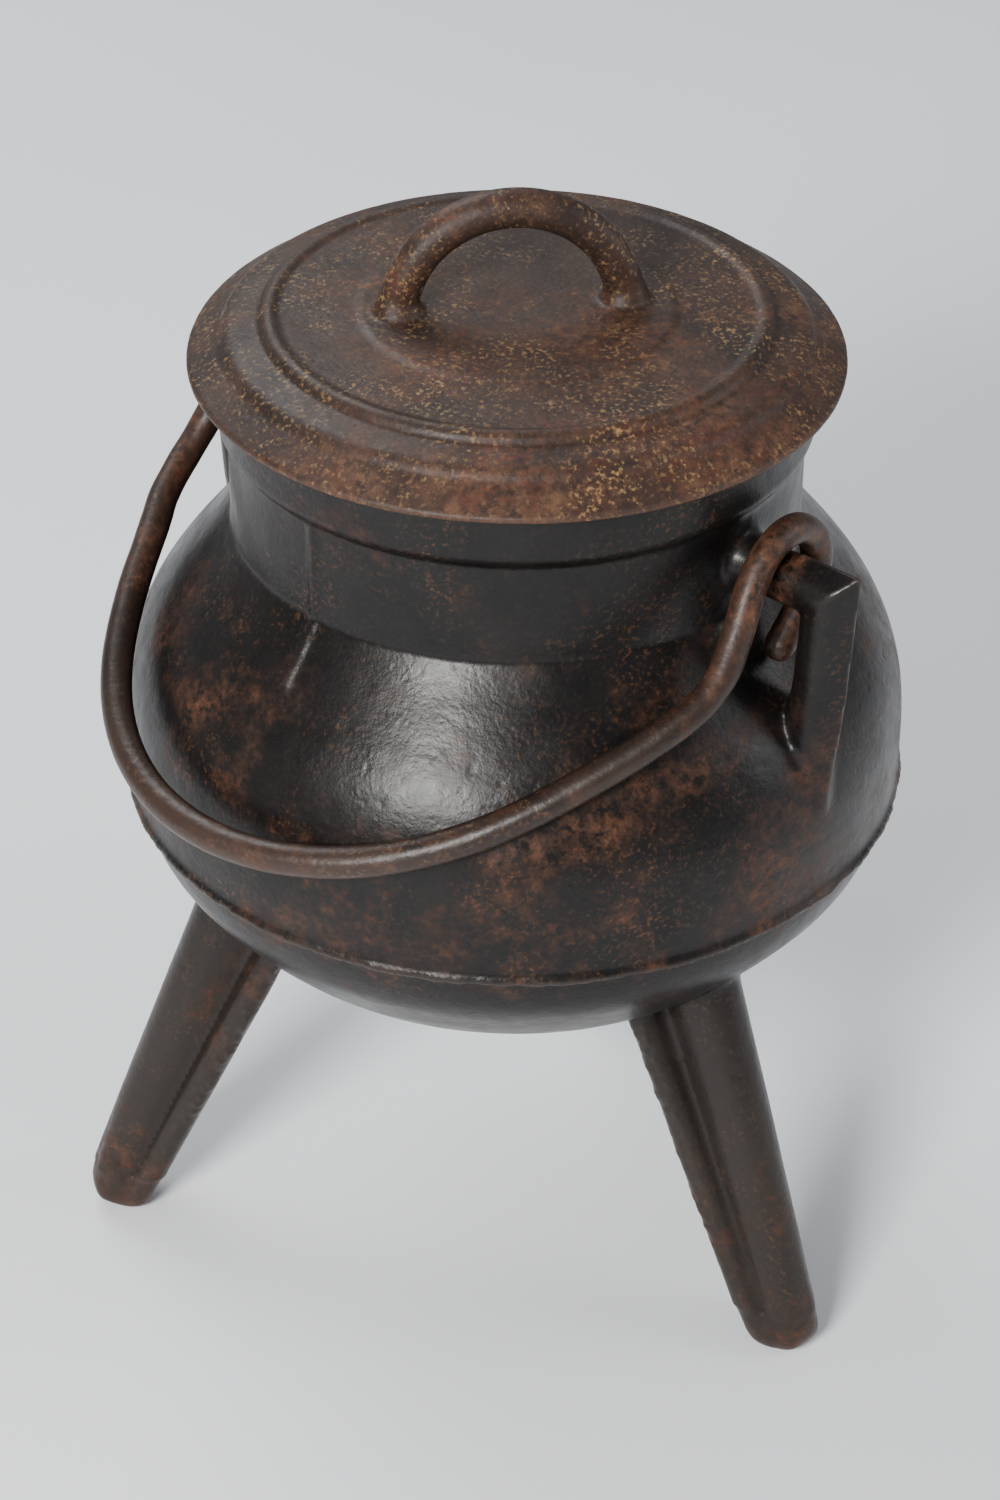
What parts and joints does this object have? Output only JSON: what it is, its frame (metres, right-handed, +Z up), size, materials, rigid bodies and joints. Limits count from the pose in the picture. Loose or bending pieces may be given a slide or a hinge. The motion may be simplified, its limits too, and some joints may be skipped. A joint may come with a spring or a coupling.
{
  "type": "three-legged cauldron",
  "caption": "Round-bellied iron cauldron on splayed ribbed legs, with a lift-off lid with a loop handle and a swinging bail hooked on side ears.",
  "frame": {"origin": "on the floor, on the vertical axis of the pot", "axes": "+Z up along the pot's axis; +X through the right ear, along the bail's hinge line; the lowered bail lies on the -Y side"},
  "size_m": [0.3258, 0.3261, 0.4377],
  "materials": {
    "pot_iron": "satin, old black seasoning with rust showing through",
    "lid_iron": "satin brown rust",
    "bail_iron": "semi-gloss brown rust on forged rod"
  },
  "bodies": {
    "pot": {"lower_bowl": "pot_iron", "belly_shell": "pot_iron", "neck": "pot_iron", "rim": "pot_iron", "ear_right": "pot_iron", "ear_left": "pot_iron", "leg_under_ear": "pot_iron", "leg_far_side": "pot_iron", "leg_bail_side": "pot_iron", "mould_seam_bail_side": "pot_iron", "mould_seam_far_side": "pot_iron"},
    "lid": {"lid_plate": "lid_iron", "lid_register": "lid_iron", "lid_handle": "lid_iron"},
    "bail": {"bail_rod": "bail_iron", "bail_eye_right": "bail_iron", "bail_eye_left": "bail_iron"}
  },
  "joints": [
    {"name": "bail_swing", "type": "hinge", "parent": "pot", "child": "bail", "pos_m": [0, 0, 0.329], "axis": [-1, 0, 0], "range_deg": [0, 236.5]},
    {"name": "lid_lift", "type": "slide", "parent": "pot", "child": "lid", "axis": [0, 0, 1], "range_m": [0, 0.12]}
  ]
}
